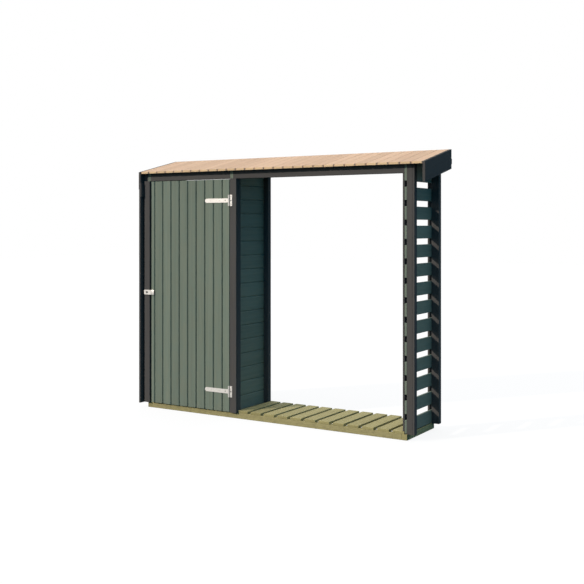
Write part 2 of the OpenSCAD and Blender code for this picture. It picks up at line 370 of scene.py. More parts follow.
class NodeDesk:
    """Adds nodes to one tree, and links them as they are added."""

    def __init__(self, tree: Tree) -> None:
        """Work on a tree."""
        self.tree = tree

    def add(self, kind: str, values: dict[str | int, Feed] | None = None,
            **settings: object) -> Node:
        """Add a node.

        Args:
            kind: The node's type.
            values: Its inputs, by name or number: a plain value, or a socket to link from.
            settings: Its properties.

        Returns:
            The new node.
        """
        node = self.tree.nodes.new(kind)
        for name, setting in settings.items():
            setattr(node, name, setting)
        for key, value in (values or {}).items():
            self.feed(node.inputs[key], value)
        return node

    def feed(self, socket: Socket, value: Feed) -> None:
        """Link a socket from another one, or set its value.

        Args:
            socket: The socket that takes the value.
            value: A socket to link from, or a plain value.
        """
        if isinstance(value, Socket):
            self.tree.links.new(value, socket)
        elif socket.type == "RGBA" and len(value) == 3:
            socket.default_value = (*value, 1.0)
        else:
            socket.default_value = value

    def maths(self, operation: str, first: Feed, second: Feed = 0.0,
              clamp: bool = False) -> Socket:
        """Add a Math node and return its result."""
        return self.add("ShaderNodeMath", {0: first, 1: second},
                        operation=operation, use_clamp=clamp).outputs[0]

    def plus(self, first: Feed, second: Feed, clamp: bool = False) -> Socket:
        """Add two values up."""
        return self.maths("ADD", first, second, clamp)

    def times(self, first: Feed, second: Feed, clamp: bool = False) -> Socket:
        """Multiply two values."""
        return self.maths("MULTIPLY", first, second, clamp)

    def stretched(self, vector: Socket, scale: Sequence[float]) -> Socket:
        """Multiply a vector by three factors."""
        return self.add("ShaderNodeVectorMath", {0: vector, 1: scale},
                        operation="MULTIPLY").outputs[0]

    def noise(self, vector: Socket, pattern: Pattern) -> Socket:
        """Add a noise texture.

        Args:
            vector: The coordinates that it reads.
            pattern: Its repeats and texture.

        Returns:
            Its value.
        """
        return self.add("ShaderNodeTexNoise", {
            "Vector": self.stretched(vector, pattern.repeats), "Scale": 1.0,
            "Detail": pattern.detail, "Roughness": pattern.roughness,
            "Distortion": pattern.distortion}).outputs["Fac"]

    def ramp(self, value: Feed, low: float, high: float, start: float = 0.0,
             end: float = 1.0) -> Socket:
        """Remap a value smoothly from one range to another, and clamp it.

        Args:
            value: The value.
            low: Where the first range begins.
            high: Where the first range ends.
            start: The result at its beginning.
            end: The result at its end.

        Returns:
            The remapped value.
        """
        return self.add("ShaderNodeMapRange", {
            "Value": value, "From Min": low, "From Max": high, "To Min": start, "To Max": end},
            interpolation_type="SMOOTHSTEP").outputs["Result"]

    def blend(self, factor: Feed, first: Feed, second: Feed, mode: str = "MIX") -> Socket:
        """Mix two colours, whose sockets on the Mix node are numbers 6 and 7."""
        return self.add("ShaderNodeMix", {0: factor, 6: first, 7: second},
                        data_type="RGBA", blend_type=mode).outputs[2]

    def layered(self, colour: Feed, layers: Sequence[tuple[Socket, float, Feed]]) -> Feed:
        """Lay tints over a colour.

        Args:
            colour: The colour below.
            layers: For each tint its mask, the mask's share and the tint.

        Returns:
            The colour with all the tints on it.
        """
        for mask, share, tint in layers:
            colour = self.blend(self.times(mask, share), colour, tint)
        return colour

    def emboss(self, shader: Node, height: Feed, strength: float, depth: float) -> None:
        """Raise a shader's surface by a height.

        Args:
            shader: The Principled shader.
            height: The height, from nought to about one.
            strength: How strongly it shows.
            depth: What a height of one stands for.
        """
        bump = self.add("ShaderNodeBump", {
            "Height": height, "Strength": strength, "Distance": depth})
        self.feed(shader.inputs["Normal"], bump.outputs[0])

    def mark(self, name: str) -> Socket:
        """Read one of a board's marks."""
        output = "Vector" if name == "grain" else "Fac"
        return self.add("ShaderNodeAttribute", attribute_name=name).outputs[output]

    def group(self, tree: Tree, values: dict[str, Feed] | None = None) -> Node:
        """Place a node group.

        Args:
            tree: The group.
            values: Its inputs.

        Returns:
            The group's node.
        """
        node = self.tree.nodes.new("ShaderNodeGroup")
        node.node_tree = tree
        for key, value in (values or {}).items():
            self.feed(node.inputs[key], value)
        return node


VALUE = "NodeSocketFloat"
TINT = "NodeSocketColor"


def new_group(name: str, inputs: dict[str, tuple[str, Feed]],
              outputs: dict[str, str]) -> tuple[NodeDesk, Node, Node]:
    """Start a shader node group.

    Args:
        name: The group's name.
        inputs: The sockets that it takes, each with its type and default value.
        outputs: The sockets that it gives, each with its type.

    Returns:
        A desk for its tree, its input node and its output node.
    """
    tree = bpy.data.node_groups.new(name, "ShaderNodeTree")
    for socket, (kind, default) in inputs.items():
        made = tree.interface.new_socket(socket, in_out="INPUT", socket_type=kind)
        made.default_value = default
    for socket, kind in outputs.items():
        tree.interface.new_socket(socket, in_out="OUTPUT", socket_type=kind)
    desk = NodeDesk(tree)
    return desk, desk.add("NodeGroupInput"), desk.add("NodeGroupOutput")


@dataclass(frozen=True)
class TimberFigure:
    """Streaks, fibres, growth rings and knots, from a board's grain coordinates."""

    streaks: Pattern = Pattern((1.3, 46, 46), 5.0, 0.55, 0.4)
    fibres: Pattern = Pattern((11, 620, 620), 3.0, 0.6)
    bow: Pattern = Pattern((1.6, 9, 9), 2.0, 0.4)
    knots_in_metre: float = 4.5
    knot_squash: tuple[float, float, float] = (1, 1, 0.15)
    knot_core: Span = (0.55, 1.0, 1.0, 0.0)
    knot_halo: Span = (0.8, 3.2, 1.0, 0.0)
    ring_slant: float = 0.35
    ring_bow: float = 0.11
    ring_bow_at_knots: float = 0.012
    ring_width: Span = (-0.2, 0.95)

    def group(self) -> Tree:
        """Build the node group."""
        desk, given, result = new_group(
            "timber_figure",
            {"Ring spacing": (VALUE, 0.009), "Knot radius": (VALUE, 0.008)},
            {"Streaks": VALUE, "Fibres": VALUE, "Rings": VALUE, "Knots": VALUE, "Halo": VALUE})
        place = desk.mark("grain")
        nearest = desk.add("ShaderNodeTexVoronoi", {
            "Vector": desk.stretched(place, self.knot_squash),
            "Scale": self.knots_in_metre}).outputs[0]
        reach = desk.maths("DIVIDE", nearest, desk.times(
            given.outputs["Knot radius"], self.knots_in_metre))
        halo = desk.ramp(reach, *self.knot_halo)
        across = desk.add("ShaderNodeSeparateXYZ", {0: place}).outputs
        phase = desk.plus(across[Y], desk.times(across[Z], self.ring_slant))
        phase = desk.plus(phase, desk.times(desk.noise(place, self.bow), self.ring_bow))
        phase = desk.plus(phase, desk.times(halo, self.ring_bow_at_knots))
        wave = desk.maths("SINE", desk.maths(
            "DIVIDE", desk.times(phase, math.tau), given.outputs["Ring spacing"]))
        for name, value in (("Streaks", desk.noise(place, self.streaks)),
                            ("Fibres", desk.noise(place, self.fibres)),
                            ("Rings", desk.ramp(wave, *self.ring_width)),
                            ("Knots", desk.ramp(reach, *self.knot_core)), ("Halo", halo)):
            desk.feed(result.inputs[name], value)
        return desk.tree


@dataclass(frozen=True)
class BoardVariation:
    """Each board's tone, its mottling and the mask of its end grain."""

    mottle: Pattern = Pattern((9, 34, 34), 3.0, 0.6)
    patchiness: Span = (0.36, 0.64)

    def group(self) -> Tree:
        """Build the node group."""
        desk, _, result = new_group(
            "board_variation", {}, {"Tone": VALUE, "Mottle": VALUE, "End": VALUE})
        mottle = desk.noise(desk.mark("grain"), self.mottle)
        for name, value in (("Tone", desk.mark("tone")), ("End", desk.mark("end_grain")),
                            ("Mottle", desk.ramp(mottle, *self.patchiness))):
            desk.feed(result.inputs[name], value)
        return desk.tree


@dataclass(frozen=True)
class GroundGrime:
    """A mask of splashed dirt that fades out above the ground."""

    splashes: Pattern = Pattern((34, 34, 34), 5.0, 0.65)
    spottiness: Span = (0.42, 0.7)

    def group(self) -> Tree:
        """Build the node group."""
        desk, given, result = new_group(
            "ground_grime", {"Height": (VALUE, 0.2)}, {"Mask": VALUE})
        place = desk.add("ShaderNodeTexCoord").outputs["Object"]
        height = desk.add("ShaderNodeSeparateXYZ", {0: place}).outputs[Z]
        near = desk.ramp(desk.maths("DIVIDE", height, given.outputs["Height"]), 0.0, 1.0, 1.0, 0.0)
        spots = desk.ramp(desk.noise(place, self.splashes), *self.spottiness)
        desk.feed(result.inputs["Mask"], desk.times(near, spots, True))
        return desk.tree


def toned_colour() -> Tree:
    """Build the group that lightens or darkens a colour by a signed amount."""
    desk, given, result = new_group(
        "toned_colour",
        {"Colour": (TINT, (0.5, 0.5, 0.5, 1.0)), "Tone": (VALUE, 0.0), "Spread": (VALUE, 0.1)},
        {"Colour": TINT})
    factor = desk.plus(desk.times(given.outputs["Tone"], given.outputs["Spread"]), 1.0)
    grey = desk.add("ShaderNodeCombineColor", {0: factor, 1: factor, 2: factor}).outputs[0]
    desk.feed(result.inputs["Colour"], desk.blend(1.0, given.outputs["Colour"], grey, "MULTIPLY"))
    return desk.tree


class Effects:
    """The node groups that the finishes share, each built once."""

    def __init__(self) -> None:
        """Build the groups."""
        self.figure = TimberFigure().group()
        self.board = BoardVariation().group()
        self.grime = GroundGrime().group()
        self.toned = toned_colour()


def new_material(name: str) -> tuple[Material, NodeDesk, Node]:
    """Start a material.

    Args:
        name: The material's name.

    Returns:
        The material, a desk for its tree and its Principled shader.
    """
    material = bpy.data.materials.new(name)
    material.use_nodes = True
    shader = material.node_tree.nodes["Principled BSDF"]
    return material, NodeDesk(material.node_tree), shader


@dataclass(frozen=True, kw_only=True)
class Timber:
    """What the timber finishes share: dirt near the ground, sheen and relief."""

    slot: str
    ring_spacing: float
    knot_radius: float
    tone_spread: float
    streaks: Span
    fibres: Span
    mottle_share: float
    knot_share: float
    end_share: float
    grime: Colour
    grime_height: float
    grime_share: float
    roughness: Span
    specular: float
    relief: tuple[float, float, float]
    relief_strength: float
    relief_depth: float

    def colour(self, desk: NodeDesk, figure: Outputs, board: Outputs) -> Feed:
        """Give the colour of a clean board, which each finish makes in its own way."""
        raise NotImplementedError

    def material(self, effects: Effects) -> Material:
        """Build the finish's material.

        Args:
            effects: The shared node groups.

        Returns:
            The material.
        """
        material, desk, shader = new_material(self.slot)
        figure = desk.group(effects.figure, {
            "Ring spacing": self.ring_spacing, "Knot radius": self.knot_radius}).outputs
        board = desk.group(effects.board).outputs
        toned = desk.group(effects.toned, {
            "Colour": self.colour(desk, figure, board), "Tone": board["Tone"],
            "Spread": self.tone_spread}).outputs[0]
        dirt = desk.group(effects.grime, {"Height": self.grime_height}).outputs[0]
        desk.feed(shader.inputs["Base Color"],
                  desk.layered(toned, [(dirt, self.grime_share, self.grime)]))
        desk.feed(shader.inputs["Roughness"], desk.ramp(figure["Fibres"], *self.roughness))
        height = 0.0
        for name, share in zip(("Fibres", "Rings", "Knots"), self.relief):
            height = desk.plus(height, desk.times(figure[name], share))
        desk.emboss(shader, height, self.relief_strength, self.relief_depth)
        shader.inputs["Specular IOR Level"].default_value = self.specular
        return material


@dataclass(frozen=True, kw_only=True)
class PaintedTimber(Timber):
    """Matt paint over softwood, through which the grain still shows."""

    coat: Colour
    deep: Colour
    cool: Colour
    ring_spacing: float = 0.011
    knot_radius: float = 0.007
    tone_spread: float = 0.06
    streaks: Span = (0.4, 0.68, 0.0, 0.55)
    fibres: Span = (0.5, 0.75, 0.0, 0.3)
    mottle_share: float = 0.55
    knot_share: float = 0.3
    end_share: float = 0.18
    grime: Colour = (0.11, 0.095, 0.07)
    grime_height: float = 0.16
    grime_share: float = 0.22
    roughness: Span = (0.3, 0.7, 0.64, 0.82)
    specular: float = 0.12
    relief: tuple[float, float, float] = (0.6, 0.25, -0.5)
    relief_strength: float = 0.32
    relief_depth: float = 0.0008

    def colour(self, desk: NodeDesk, figure: Outputs, board: Outputs) -> Feed:
        """Lay the coat, deeper along the grain and cooler in patches.

        Args:
            desk: The desk of the material's tree.
            figure: The outputs of the timber's figure.
            board: The outputs of the board's variation.

        Returns:
            The colour of a clean board.
        """
        depth = desk.plus(desk.ramp(figure["Streaks"], *self.streaks),
                          desk.ramp(figure["Fibres"], *self.fibres), True)
        return desk.layered(desk.blend(depth, self.coat, self.deep), [
            (board["Mottle"], self.mottle_share, self.cool),
            (figure["Knots"], self.knot_share, self.deep),
            (board["End"], self.end_share, self.deep)])


@dataclass(frozen=True, kw_only=True)
class BareTimber(Timber):
    """Unpainted softwood: early and late wood, knots with a halo, and end grain."""

    early: Colour
    late: Colour
    flush: Colour
    knot: Colour
    end: Colour
    ring_strength: float
    knot_radius: float = 0.008
    streaks: Span = (0.42, 0.72, 0.0, 0.5)
    fibres: Span = (0.48, 0.78, 0.0, 0.35)
    mottle_share: float = 0.5
    halo_share: float = 0.35
    knot_share: float = 0.85
    end_share: float = 0.85
    end_rings: float = 0.4
    grime: Colour = (0.12, 0.10, 0.06)
    grime_height: float = 0.11
    grime_share: float = 0.0
    roughness: Span = (0.3, 0.7, 0.64, 0.84)
    specular: float = 0.04
    relief: tuple[float, float, float] = (0.7, 0.3, 0.4)
    relief_strength: float = 0.4
    relief_depth: float = 0.0009

    def colour(self, desk: NodeDesk, figure: Outputs, board: Outputs) -> Feed:
        """Draw late wood over early wood, then patches, knots and end grain.

        Args:
            desk: The desk of the material's tree.
            figure: The outputs of the timber's figure.
            board: The outputs of the board's variation.

        Returns:
            The colour of a clean board.
        """
        rings = desk.times(figure["Rings"], self.ring_strength)
        lines = desk.maths("MAXIMUM", rings, desk.ramp(figure["Streaks"], *self.streaks))
        late = desk.plus(lines, desk.ramp(figure["Fibres"], *self.fibres), True)
        ends = desk.layered(self.end, [(figure["Rings"], self.end_rings, self.late)])
        return desk.layered(desk.blend(late, self.early, self.late), [
            (board["Mottle"], self.mottle_share, self.flush),
            (figure["Halo"], self.halo_share, self.late),
            (figure["Knots"], self.knot_share, self.knot),
            (board["End"], self.end_share, ends)])


@dataclass(frozen=True)
class ZincedSteel:
    """Zinc-plated steel with a faint crystal pattern and fine rubbed lines."""

    slot: str
    bright: Colour
    dull: Colour
    crystals_in_metre: float = 190.0
    crystal_share: float = 0.35
    film: Pattern = Pattern((60, 60, 60), 4.0, 0.6)
    film_patches: Span = (0.35, 0.7)
    film_share: float = 0.5
    rubbing: Pattern = Pattern((60, 60, 900), 2.0, 0.5)
    roughness: Span = (0.3, 1.5, 0.35, 0.57)
    metallic: float = 0.85
    relief_strength: float = 0.12
    relief_depth: float = 0.0003

    def material(self, _: Effects) -> Material:
        """Build the steel's material.

        Args:
            _: The shared node groups, of which steel uses none.

        Returns:
            The material.
        """
        material, desk, shader = new_material(self.slot)
        place = desk.add("ShaderNodeTexCoord").outputs["Object"]
        crystals = desk.add("ShaderNodeTexVoronoi", {
            "Vector": place, "Scale": self.crystals_in_metre}).outputs["Color"]
        crystal = desk.add("ShaderNodeSeparateColor", {0: crystals}).outputs[0]
        film = desk.ramp(desk.noise(place, self.film), *self.film_patches)
        rubbed = desk.noise(place, self.rubbing)
        dullness = desk.plus(desk.times(crystal, self.crystal_share),
                             desk.times(film, self.film_share), True)
        desk.feed(shader.inputs["Base Color"], desk.blend(dullness, self.bright, self.dull))
        desk.feed(shader.inputs["Roughness"],
                  desk.ramp(desk.plus(dullness, rubbed), *self.roughness))
        desk.emboss(shader, desk.plus(film, rubbed), self.relief_strength, self.relief_depth)
        shader.inputs["Metallic"].default_value = self.metallic
        return material


Finish = Union[PaintedTimber, BareTimber, ZincedSteel]

GREEN_PAINT = PaintedTimber(
    slot="green_paint", coat=(0.176, 0.206, 0.158), deep=(0.128, 0.160, 0.124),
    cool=(0.150, 0.196, 0.158))
GREY_PAINT = PaintedTimber(
    slot="grey_paint", coat=(0.086, 0.081, 0.075), deep=(0.068, 0.065, 0.062),
    cool=(0.078, 0.077, 0.076), specular=0.01)
TREATED_TIMBER = BareTimber(
    slot="natural_timber", early=(0.395, 0.354, 0.172), late=(0.27, 0.236, 0.104),
    flush=(0.352, 0.312, 0.155), knot=(0.085, 0.067, 0.035), end=(0.33, 0.295, 0.13),
    ring_spacing=0.010, ring_strength=0.5, tone_spread=0.10, grime_share=0.35)
ROOF_TIMBER = BareTimber(
    slot="roof_timber", early=(0.57, 0.41, 0.285), late=(0.44, 0.284, 0.18),
    flush=(0.545, 0.363, 0.253), knot=(0.27, 0.155, 0.095), end=(0.76, 0.55, 0.31),
    ring_spacing=0.007, ring_strength=0.45, tone_spread=0.07, knot_radius=0.007)
ZINC = ZincedSteel("galvanised_steel", bright=(0.58, 0.565, 0.53), dull=(0.47, 0.455, 0.425))


class Dresser:
    """Keeps one material for each finish and hands finished pieces to the frame."""

    def __init__(self) -> None:
        """Start with the shared effects and no materials."""
        self.effects = Effects()
        self.materials: dict[str, Material] = {}

    def material(self, finish: Finish) -> Material:
        """Give a finish's material, built the first time that it is asked for.

        Args:
            finish: The finish.

        Returns:
            Its material.
        """
        if finish.slot not in self.materials:
            self.materials[finish.slot] = finish.material(self.effects)
        return self.materials[finish.slot]

    def hand_over(self, parts: Sequence[Piece], name: str, finish: Finish, body: Body,
                  nodes: Sequence[str] = (), round_shading: bool = False) -> None:
        """Join the parts of a piece, dress it and make it ride.

        Args:
            parts: What the piece is made of.
            name: The piece's name.
            finish: Its finish.
            body: The body that it moves with.
            nodes: The frame's nodes that it stands for.
            round_shading: Whether its shallow corners are shaded round.
        """
        piece = joined(parts)
        piece.name = name
        piece.data.name = name
        if round_shading:
            bpy.ops.object.shade_smooth_by_angle(angle=math.radians(SMOOTH_ANGLE))
        piece.data.materials.clear()
        piece.data.materials.append(self.material(finish))
        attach(piece, body.value)
        if nodes:
            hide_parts(*nodes)
        log.info("%s: %d faces, rides on %s", name, len(piece.data.polygons), body.value)


@dataclass(frozen=True)
class RoofPlane:
    """The slope that everything under the roof is cut to."""

    seat: Vector
    slope: float

    @classmethod
    def from_frame(cls) -> "RoofPlane":
        """Take the slope from the tops of the header and the purlin."""
        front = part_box("log_bay_header")[1]
        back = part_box("roof_purlin")[1]
        return cls(front, math.atan2(back.z - front.z, back.y - front.y))

    @property
    def normal(self) -> Vector:
        """Direction square to the roof, upwards."""
        return Vector((0, -math.sin(self.slope), math.cos(self.slope)))

    @property
    def rise(self) -> Vector:
        """Direction up the slope."""
        return Vector((0, math.cos(self.slope), math.sin(self.slope)))

    def cut_top(self, piece: Piece, corner: Vector) -> None:
        """Saw a piece's top along the slope, through a corner."""
        saw(piece, corner, self.normal)

    def sloped_board(self, low: Vector, high: Vector) -> Piece:
        """Add a board that rises with the roof between two corners.

        Args:
            low: Its lowest corner.
            high: Its highest corner.

        Returns:
            The new object.
        """
        board = squared(low, high)
        self.cut_top(board, high)
        saw(board, low, -self.normal)
        return board

    def fit_under(self, board: Piece, low: Vector, high: Vector, room: float) -> None:
        """Notch a wall's board around the back rail and the purlin, and slope its top.

        Args:
            board: The board.
            low: The wall's lowest corner.
            high: The wall's highest corner.
            room: How far the notch runs out of the wall.
        """
        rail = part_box("back_rail")[0]
        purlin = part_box("roof_purlin")[0]
        cut_away(board, squared(Vector((low.x - room, purlin.y, rail.z)),
                                high + Vector((room, room, room))))
        self.cut_top(board, self.seat)


# ---------------------------------------------------------------- timber work


class Top(Enum):
    """How the top of a timber is cut."""

    SQUARE = "square"
    SLOPED = "sloped"


@dataclass
class SubAssembly:
    """What every sub-assembly works with: the dresser, and the slope above it."""

    dresser: Dresser
    roof: RoofPlane

    def build(self) -> None:
        """Model and dress the pieces, which each sub-assembly does in its own way."""
        raise NotImplementedError


@dataclass
class SquaredTimbers(SubAssembly):
    """Timbers that stand for one node each: bearers, posts, strips and rails."""

    nodes: dict[str, Top]
    grain: Grain
    finish: Finish
    easing: float = 0.0018

    def build(self) -> None:
        """Model each timber between its node's corners, ease its edges and dress it."""
        for node, top in self.nodes.items():
            low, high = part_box(node)
            timber = squared(low, high)
            if top is Top.SLOPED:
                self.roof.cut_top(timber, high)
            bevel_edges(timber, self.easing, 2)
            mark_board(timber, self.grain)
            self.dresser.hand_over([timber], f"{node}_timber", self.finish, Body.STORE, [node])


@dataclass
class FloorBoards(SubAssembly):
    """Boards laid front to back with gaps, as one piece for each floor."""

    node: str
    count: int
    width: float = 0.095
    easing: float = 0.0022

    @property
    def pitch(self) -> float:
        """Step from one board to the next."""
        low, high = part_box(self.node)
        return (high.x - low.x - self.width) / (self.count - 1)

    def build(self) -> None:
        """Model one board, repeat it across the floor and dress the floor."""
        low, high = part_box(self.node)
        board = squared(low, Vector((low.x + self.width, high.y, high.z)))
        bevel_edges(board, self.easing, 2)
        boards = row_of(board, SIDEWAYS * self.pitch, self.count)
        for item in boards:
            mark_board(item, Grain.ALONG_Y)
        self.dresser.hand_over(boards, f"{self.node}_boards", TREATED_TIMBER, Body.STORE,
                               [self.node])


class Side(Enum):
    """Which side of a clad wall is the outer, jointed one: its axis and its sign."""

    LEFT = (X, -1)
    RIGHT = (X, 1)
    BACK = (Y, 1)


@dataclass
class CladWall(SubAssembly):
    """A wall of horizontal boards with V-joints on the outer side."""

    node: str
    outer: Side
    board_height: float = 0.1137
    lowest_extra: float = 0.003
    joint: float = 0.006
    back_joint: float = 0.0008
    seam: float = 0.003
    tongue: float = 0.005

    def build(self) -> None:
        """Stack the boards, fit the top ones under the rail and the roof, and dress the wall."""
        low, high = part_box(self.node)
        runs_back = self.outer.value[0] == X
        rail_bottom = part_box("back_rail")[0].z
        boards = self.stacked(low, high)
        for item in boards:
            top = max(vertex.co.z for vertex in item.data.vertices)
            if top > high.z + TOUCH:
                saw(item, high, UP)
            if runs_back and top > rail_bottom:
                self.roof.fit_under(item, low, high, self.joint)
            mark_board(item, Grain.ALONG_Y if runs_back else Grain.ALONG_X)
        self.dresser.hand_over(boards, f"{self.node}_boards", GREEN_PAINT, Body.STORE,
                               [self.node])

    def stacked(self, low: Vector, high: Vector) -> list[Piece]:
        """Model one board and one tongue, and repeat both up the wall.

        Args:
            low: The wall's lowest corner.
            high: The wall's highest corner.

        Returns:
            The boards, then the tongues.
        """
        across, sign = self.outer.value
        outer, inner = (high, low) if sign > 0 else (low, high)
        start = low.z + self.lowest_extra
        seam_bottom = start + self.board_height - self.seam
        board = squared(Vector((low.x, low.y, start)), Vector((high.x, high.y, seam_bottom)))
        for face, width in ((outer, self.joint), (inner, self.back_joint)):
            bevel_edges(board, width,
                        chosen=both(on_face(across, face[across]), along(AXES[1 - across])))
        count = math.ceil((high.z - start) / self.board_height - TOUCH)
        boards = row_of(board, UP * self.board_height, count)
        self.deepen_lowest(board, low.z)
        middle = (low[across] + high[across]) / 2
        bottom = Vector((low.x, low.y, seam_bottom))
        top = Vector((high.x, high.y, start + self.board_height))
        bottom[across] = middle - self.tongue / 2
        top[across] = middle + self.tongue / 2
        return boards + row_of(squared(bottom, top), UP * self.board_height, count - 1)

    def deepen_lowest(self, board: Piece, bottom: float) -> None:
        """Move the lowest board's underside down to the bearer.

        Args:
            board: The lowest board.
            bottom: Height of the bearer's top.
        """
        half = bottom + self.lowest_extra + self.board_height / 2
        with editing(board) as mesh:
            pick(board, mesh, lambda edge: all(end.co.z < half for end in edge.verts))
            bpy.ops.transform.translate(value=(0, 0, -self.lowest_extra))


@dataclass
class WallBattens(SubAssembly):
    """The upright battens at the front and back edges of one wall."""

    node: str
    finish: Finish
    front_top: Top
    easing: float = 0.0012

    def build(self) -> None:
        """Model both battens and dress them."""
        low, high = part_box(self.node)
        front_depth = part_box("left_front_post")[1].y
        back_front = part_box("left_back_post")[0].y
        sloped = self.front_top is Top.SLOPED
        front_height = high.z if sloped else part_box("log_bay_header")[0].z
        front = squared(low, Vector((high.x, front_depth, front_height)))
        if sloped:
            self.roof.cut_top(front, self.roof.seat)
        back_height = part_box("back_rail")[0].z
        back = squared(Vector((low.x, back_front, low.z)), Vector((high.x, high.y, back_height)))
        for batten in (front, back):
            bevel_edges(batten, self.easing)
            mark_board(batten, Grain.ALONG_Z)
        self.dresser.hand_over([front, back], f"{self.node}_timber", self.finish, Body.STORE,
                               [self.node])


@dataclass
class SlattedWall(SubAssembly):
    """The open end wall: spaced slats below one gable board cut to the roof."""

    node: str = "slatted_wall"
    rows: int = 13
    slat_height: float = 0.096
    gable_drop: float = 0.055
    easing: float = 0.0025

    def build(self) -> None:
        """Model one slat, repeat it up the wall, add the gable board and dress the wall."""
        low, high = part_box(self.node)
        gable_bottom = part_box("log_bay_header")[0].z - self.gable_drop
        pitch = (gable_bottom - low.z) / self.rows
        slat = squared(low, Vector((high.x, high.y, low.z + self.slat_height)))
        bevel_edges(slat, self.easing, 2)
        boards = row_of(slat, UP * pitch, self.rows)
        gable = squared(Vector((low.x, low.y, gable_bottom)), high)
        self.roof.fit_under(gable, low, high, self.slat_height)
        bevel_edges(gable, self.easing, 2, on_face(Z, gable_bottom))
        boards.append(gable)
        for item in boards:
            mark_board(item, Grain.ALONG_Y)
        self.dresser.hand_over(boards, f"{self.node}_boards", GREEN_PAINT, Body.STORE,
                               [self.node])


@dataclass
class Roof(SubAssembly):
    """Roof boards laid up the slope side by side, and a bargeboard at each end."""

    boards: int = 29
    joint: float = 0.003
    end_notch: float = 0.0085
    lower_chamfer: float = 0.003
    bargeboard_easing: float = 0.002

    @property
    def pitch(self) -> float:
        """Step from one board to the next."""
        low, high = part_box("roof_boards")
        return (high.x - low.x) / self.boards

    def build(self) -> None:
        """Model one roof board, repeat it along the roof, and model the bargeboards."""
        low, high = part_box("roof_boards")
        board = self.roof.sloped_board(low, Vector((low.x + self.pitch, high.y, high.z)))
        front = on_face(Y, low.y)
        bevel_edges(board, self.end_notch, chosen=both(front, along(UP)))
        bevel_edges(board, self.lower_chamfer, chosen=both(front, on_face(Z, low.z)))
        bevel_edges(board, self.joint, chosen=along(self.roof.rise))
        boards = row_of(board, SIDEWAYS * self.pitch, self.boards)
        for item in boards:
            mark_board(item, Grain.ALONG_Y, self.roof.slope)
        self.dresser.hand_over(boards, "roof_planks", ROOF_TIMBER, Body.STORE, ["roof_boards"])
        for node in ("left_bargeboard", "right_bargeboard"):
            bargeboard = self.roof.sloped_board(*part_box(node))
            bevel_edges(bargeboard, self.bargeboard_easing, 2)
            mark_board(bargeboard, Grain.ALONG_Y, self.roof.slope)
            self.dresser.hand_over([bargeboard], f"{node}_timber", GREY_PAINT, Body.STORE,
                                   [node])


@dataclass
class Door(SubAssembly):
    """The boarded door: upright boards with V-joints, on three chamfered ledges."""

    first_board: float = 0.0366
    board_width: float = 0.08766
    joint: float = 0.006
    seam: float = 0.0032
    tongue: float = 0.005
    edge_easing: float = 0.0015
    ledge_width: float = 0.095
    ledge_chamfer: float = 0.005

    def build(self) -> None:
        """Build the boards and the ledges."""
        self.build_boards()
        self.build_ledges()

    def build_boards(self) -> None:
        """Model one board, repeat it across the door and trim the outer two."""
        low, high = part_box("door_boards")
        start = low.x + self.first_board - self.board_width
        count = math.ceil((high.x - start) / self.board_width)
        seam_start = start + self.board_width - self.seam
        step = SIDEWAYS * self.board_width
        board = squared(Vector((start, low.y, low.z)), Vector((seam_start, high.y, high.z)))
        bevel_edges(board, self.joint, chosen=both(on_face(Y, low.y), along(UP)))
        boards = row_of(board, step, count)
        tongue = squared(Vector((seam_start, high.y - self.tongue, low.z)),
                         Vector((start + self.board_width, high.y - self.edge_easing, high.z)))
        tongues = row_of(tongue, step, count - 1)
        for item, corner, outwards in ((boards[0], low, -SIDEWAYS), (boards[-1], high, SIDEWAYS)):
            saw(item, corner, outwards)
            bevel_edges(item, self.edge_easing, chosen=both(on_face(X, corner.x), along(UP)))
        for item in boards + tongues:
            mark_board(item, Grain.ALONG_Z)
        self.dresser.hand_over(boards + tongues, "door_vee_boards", GREEN_PAINT, Body.DOOR,
                               ["door_boards"])

    def build_ledges(self) -> None:
        """Model a ledge at the height of each hinge and of the latch."""
        low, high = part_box("door_ledges")
        heights = [sum(corner.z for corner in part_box(node)) / 2
                   for node in ("lower_hinge_strap", "latch_hasp", "upper_hinge_strap")]
        ledge = squared(Vector((low.x, low.y, heights[0] - self.ledge_width / 2)),
                        Vector((high.x, high.y, heights[0] + self.ledge_width / 2)))
        bevel_edges(ledge, self.ledge_chamfer, chosen=on_face(Y, high.y))
        ledges = [ledge] + [copied(ledge, UP * (height - heights[0])) for height in heights[1:]]
        for item in ledges:
            mark_board(item, Grain.ALONG_X)
        self.dresser.hand_over(ledges, "door_ledge_timbers", GREEN_PAINT, Body.DOOR,
                               ["door_ledges"])


# ---------------------------------------------------------------- iron work


@dataclass(frozen=True)
class Screw:
    """A pan-head screw seen from the front, with a cross recess."""

    radius: float = 0.0042
    height: float = 0.0019
    dome: float = 0.0011
    sides: int = 16
    recess_length: float = 0.0046
    recess_width: float = 0.0010
    recess_depth: float = 0.0012

    def model(self) -> Piece:
        """Model the head at the origin, its front towards -Y."""
        head = rod(Vector((0, -self.height / 2, 0)), self.radius, self.height, Y, self.sides)
        bevel_edges(head, self.dome, 2, on_face(Y, -self.height))
        for long_axis in (X, Z):
            half = Vector((self.recess_width / 2,) * 3)
            half[long_axis] = self.recess_length / 2
            half.y = self.recess_depth
            cut_away(head, block(INWARD * -self.height, half))
        return head


